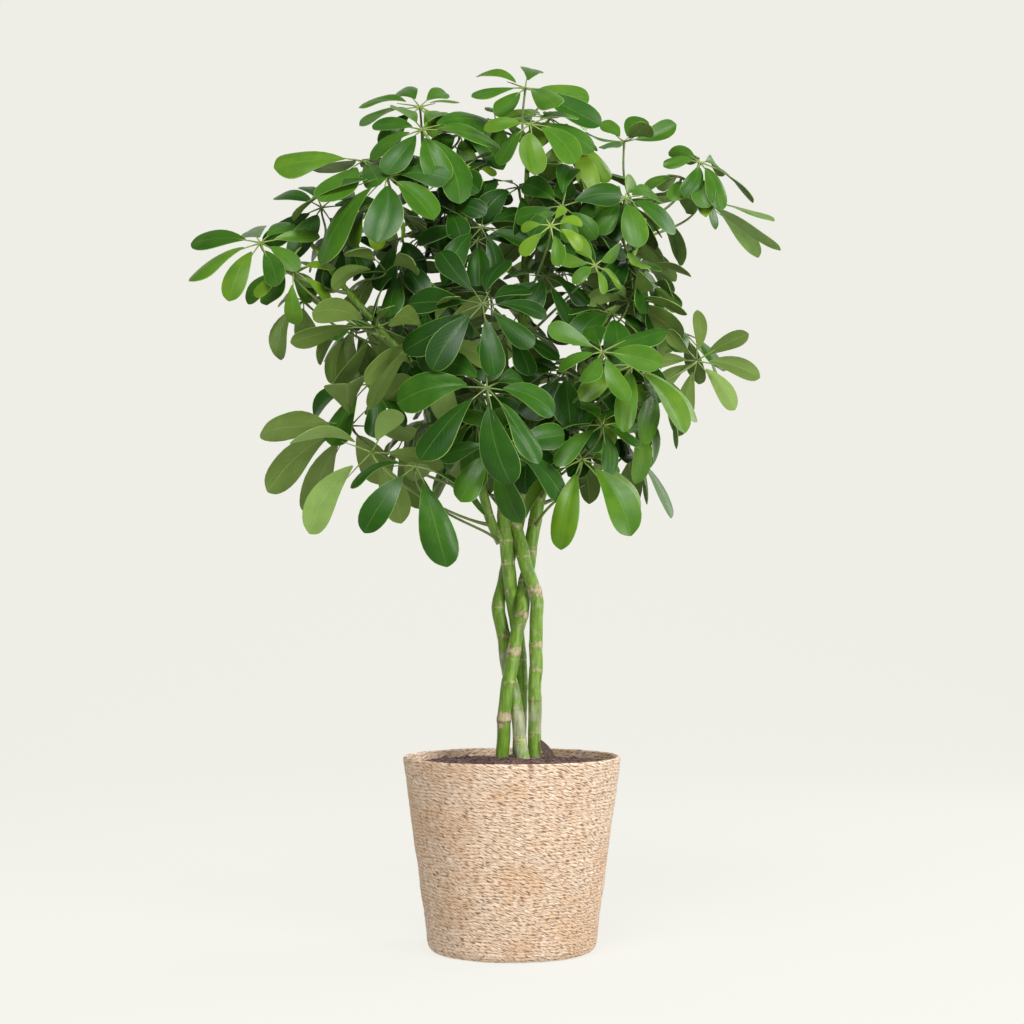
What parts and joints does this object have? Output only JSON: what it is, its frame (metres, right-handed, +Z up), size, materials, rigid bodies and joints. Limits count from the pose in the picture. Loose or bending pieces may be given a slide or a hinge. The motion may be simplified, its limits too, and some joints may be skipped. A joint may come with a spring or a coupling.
{
  "type": "potted schefflera",
  "caption": "Umbrella plant with braided stems and a rounded crown of fanned leaflets, growing in soil in a round woven rope basket.",
  "frame": {"origin": "on the floor, under the middle of the basket's flat base", "axes": "+Z up along the trunk, -Y towards the front, +X to the front view's right"},
  "size_m": [0.5491, 0.4046, 0.8072],
  "materials": {
    "basket": "matte",
    "liner": "matte",
    "soil": "matte",
    "chip": "matte",
    "stem": "matte",
    "leaf": "satin"
  },
  "bodies": {
    "root": {"woven_basket": "basket", "pot_liner": "liner", "soil": "soil", "bark_chip": "chip", "stem_1": "stem", "stem_2": "stem", "stem_3": "stem", "stem_4": "stem", "leaf_01": "leaf", "leaf_02": "leaf", "leaf_03": "leaf", "leaf_04": "leaf", "leaf_05": "leaf", "leaf_06": "leaf", "leaf_07": "leaf", "leaf_08": "leaf", "leaf_09": "leaf", "leaf_10": "leaf", "leaf_11": "leaf", "leaf_12": "leaf", "leaf_13": "leaf", "leaf_14": "leaf", "leaf_15": "leaf", "leaf_16": "leaf", "leaf_17": "leaf", "leaf_18": "leaf", "leaf_19": "leaf", "leaf_20": "leaf", "leaf_21": "leaf", "leaf_22": "leaf", "leaf_23": "leaf", "leaf_24": "leaf", "leaf_25": "leaf", "leaf_26": "leaf", "leaf_27": "leaf", "leaf_28": "leaf", "leaf_29": "leaf", "leaf_30": "leaf", "leaf_31": "leaf", "leaf_32": "leaf", "leaf_33": "leaf", "leaf_34": "leaf", "leaf_35": "leaf", "leaf_36": "leaf", "leaf_37": "leaf", "leaf_38": "leaf", "leaf_39": "leaf", "leaf_40": "leaf", "leaf_41": "leaf", "leaf_42": "leaf", "leaf_43": "leaf", "leaf_44": "leaf", "leaf_45": "leaf", "leaf_46": "leaf", "leaf_47": "leaf", "leaf_48": "leaf", "leaf_49": "leaf", "leaf_50": "leaf", "leaf_51": "leaf"}
  },
  "joints": []
}
